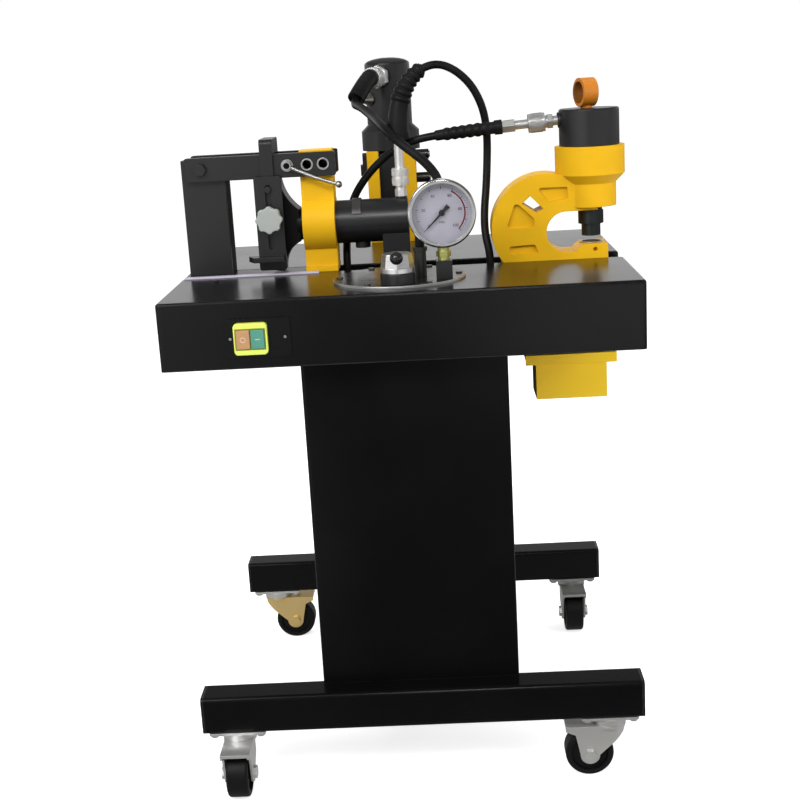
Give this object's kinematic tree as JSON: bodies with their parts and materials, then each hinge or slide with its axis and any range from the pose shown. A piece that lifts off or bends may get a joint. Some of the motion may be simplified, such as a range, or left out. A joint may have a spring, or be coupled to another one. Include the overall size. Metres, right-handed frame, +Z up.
{
  "type": "busbar processing machine",
  "caption": "Wheeled busbar processing machine: a black table on a column carries a hydraulic bender, cutter and punch, fed by a pump with selector valve, pressure gauge and hoses.",
  "frame": {"origin": "on the floor, under the centre of the machine's bounding box", "axes": "+Z up, -Y towards the operator at the switch, +X to the operator's right, where the punch stands"},
  "size_m": [0.7074, 0.69, 1.1047],
  "materials": {
    "black_paint": "semi-gloss black paint",
    "yellow_paint": "semi-gloss yellow paint",
    "orange_paint": "semi-gloss orange paint",
    "zinc": "bright zinc plate",
    "caster_rubber": "matt black",
    "black_plastic": "satin black",
    "lime_plastic": "satin lime",
    "orange_plastic": "satin orange",
    "green_plastic": "satin green",
    "grey_plastic": "matt light grey",
    "steel": "machined",
    "aluminium": "turned",
    "chrome": "polished",
    "dial_white": "matt white enamel",
    "needle_black": "matt black",
    "glass": "clear",
    "brass": "machined",
    "motor_grey": "cast",
    "hose_rubber": "satin black"
  },
  "bodies": {
    "frame": {"bend_scale": "steel", "bender_base": "black_paint", "bender_cylinder": "black_paint", "bender_hose": "hose_rubber", "bender_post": "black_paint", "bender_yoke": "yellow_paint", "caster_plates": "zinc", "column_back_cover": "black_paint", "column_shell": "black_paint", "cutter_cylinder": "black_paint", "cutter_frame": "yellow_paint", "cutter_hose": "hose_rubber", "cutter_shelf": "black_paint", "fasteners": "steel", "foot_rails": "black_paint", "gauge_block": "black_paint", "gauge_case": "chrome", "gauge_dial": "dial_white", "gauge_glass": "glass", "gauge_stem": "brass", "hose_sleeves": "hose_rubber", "lifting_ring": "orange_paint", "oil_tank": "black_paint", "pump_flange": "black_paint", "pump_motor": "motor_grey", "punch_cylinder": "black_paint", "punch_die": "steel", "punch_frame": "yellow_paint", "punch_hose": "hose_rubber", "quick_couplers": "steel", "rail_end_caps": "black_plastic", "scrap_runners": "black_paint", "strap_bolt": "black_paint", "switch_bezel": "lime_plastic", "switch_plate": "black_plastic", "table_body": "black_paint", "tie_straps": "black_paint", "valve_base": "black_paint"},
    "valve": {"valve_hub": "aluminium", "valve_ball": "black_plastic"},
    "needle": {"gauge_needle": "needle_black"},
    "stop_button": {"stop_button": "orange_plastic"},
    "start_button": {"start_button": "green_plastic"},
    "bender_ram": {"bender_ram": "black_paint"},
    "rest_hook": {"rest_hook": "black_paint"},
    "rest_plate": {"rest_plate": "black_paint"},
    "rest_knob": {"rest_knob": "grey_plastic"},
    "hitch_pin": {"hitch_pin": "steel"},
    "cutter_ram": {"cutter_ram": "black_paint"},
    "cutter_handle": {"cutter_handle": "black_paint"},
    "punch_ram": {"punch_ram": "black_paint"},
    "scrap_box": {"scrap_box": "yellow_paint"},
    "caster_front_left": {"caster_fork_front_left": "zinc"},
    "wheel_front_left": {"caster_wheel_front_left": "caster_rubber"},
    "caster_front_right": {"caster_fork_front_right": "zinc"},
    "wheel_front_right": {"caster_wheel_front_right": "caster_rubber"},
    "caster_rear_left": {"caster_fork_rear_left": "zinc"},
    "wheel_rear_left": {"caster_wheel_rear_left": "caster_rubber"},
    "caster_rear_right": {"caster_fork_rear_right": "zinc"},
    "wheel_rear_right": {"caster_wheel_rear_right": "caster_rubber"}
  },
  "joints": [
    {"name": "swivel_front_left", "type": "hinge", "parent": "frame", "child": "caster_front_left", "pos_m": [-0.29275, -0.2755, 0.085], "axis": [0, 0, 1], "continuous": true},
    {"name": "roll_front_left", "type": "hinge", "parent": "caster_front_left", "child": "wheel_front_left", "pos_m": [-0.29275, -0.3075, 0.0375], "axis": [1, 0, 0], "continuous": true},
    {"name": "swivel_front_right", "type": "hinge", "parent": "frame", "child": "caster_front_right", "pos_m": [0.28525, -0.2755, 0.085], "axis": [0, 0, 1], "continuous": true},
    {"name": "roll_front_right", "type": "hinge", "parent": "caster_front_right", "child": "wheel_front_right", "pos_m": [0.25325, -0.2755, 0.0375], "axis": [0, 1, 0], "continuous": true},
    {"name": "swivel_rear_left", "type": "hinge", "parent": "frame", "child": "caster_rear_left", "pos_m": [-0.29275, 0.2975, 0.085], "axis": [0, 0, 1], "continuous": true},
    {"name": "roll_rear_left", "type": "hinge", "parent": "caster_rear_left", "child": "wheel_rear_left", "pos_m": [-0.26075, 0.2975, 0.0375], "axis": [0, 1, 0], "continuous": true},
    {"name": "swivel_rear_right", "type": "hinge", "parent": "frame", "child": "caster_rear_right", "pos_m": [0.28525, 0.2975, 0.085], "axis": [0, 0, 1], "continuous": true},
    {"name": "roll_rear_right", "type": "hinge", "parent": "caster_rear_right", "child": "wheel_rear_right", "pos_m": [0.28525, 0.2655, 0.0375], "axis": [1, 0, 0], "continuous": true},
    {"name": "stop_button_press", "type": "slide", "parent": "frame", "child": "stop_button", "axis": [0, 1, 0], "range_m": [0, 0.003], "stiffness_N_per_m": 400},
    {"name": "start_button_press", "type": "slide", "parent": "frame", "child": "start_button", "axis": [0, 1, 0], "range_m": [0, 0.003], "stiffness_N_per_m": 400},
    {"name": "valve_turn", "type": "hinge", "parent": "frame", "child": "valve", "pos_m": [-0.00575, -0.248, 0.8], "axis": [0, 0, 1], "range_deg": [-60, 60]},
    {"name": "needle_turn", "type": "hinge", "parent": "frame", "child": "needle", "pos_m": [0.06225, -0.229, 0.88], "axis": [0, 1, 0], "range_deg": [0, 270], "stiffness_Nm_per_rad": 0.002},
    {"name": "bender_stroke", "type": "slide", "parent": "frame", "child": "bender_ram", "axis": [-1, 0, 0], "range_m": [0, 0.055], "stiffness_N_per_m": 1500},
    {"name": "rest_slide", "type": "slide", "parent": "frame", "child": "rest_hook", "axis": [1, 0, 0], "range_m": [-0.06, 0.002]},
    {"name": "rest_height", "type": "slide", "parent": "rest_hook", "child": "rest_plate", "axis": [0, 0, 1], "range_m": [0, 0.03]},
    {"name": "knob_turn", "type": "hinge", "parent": "rest_hook", "child": "rest_knob", "pos_m": [-0.20525, -0.1, 0.869], "axis": [0, 1, 0], "continuous": true},
    {"name": "pin_pull", "type": "slide", "parent": "frame", "child": "hitch_pin", "axis": [0, -1, 0], "range_m": [0, 0.07]},
    {"name": "cutter_stroke", "type": "slide", "parent": "frame", "child": "cutter_ram", "axis": [0, 0, -1], "range_m": [0, 0.034], "stiffness_N_per_m": 1500, "springref_m": -0.04},
    {"name": "cutter_handle_turn", "type": "hinge", "parent": "frame", "child": "cutter_handle", "pos_m": [-0.0675, 0.265, 0.92], "axis": [1, 0, 0], "continuous": true},
    {"name": "punch_stroke", "type": "slide", "parent": "frame", "child": "punch_ram", "axis": [0, 0, 1], "range_m": [-0.02, 0.022]},
    {"name": "scrap_box_slide", "type": "slide", "parent": "frame", "child": "scrap_box", "axis": [0, -1, 0], "range_m": [0, 0.065]}
  ]
}
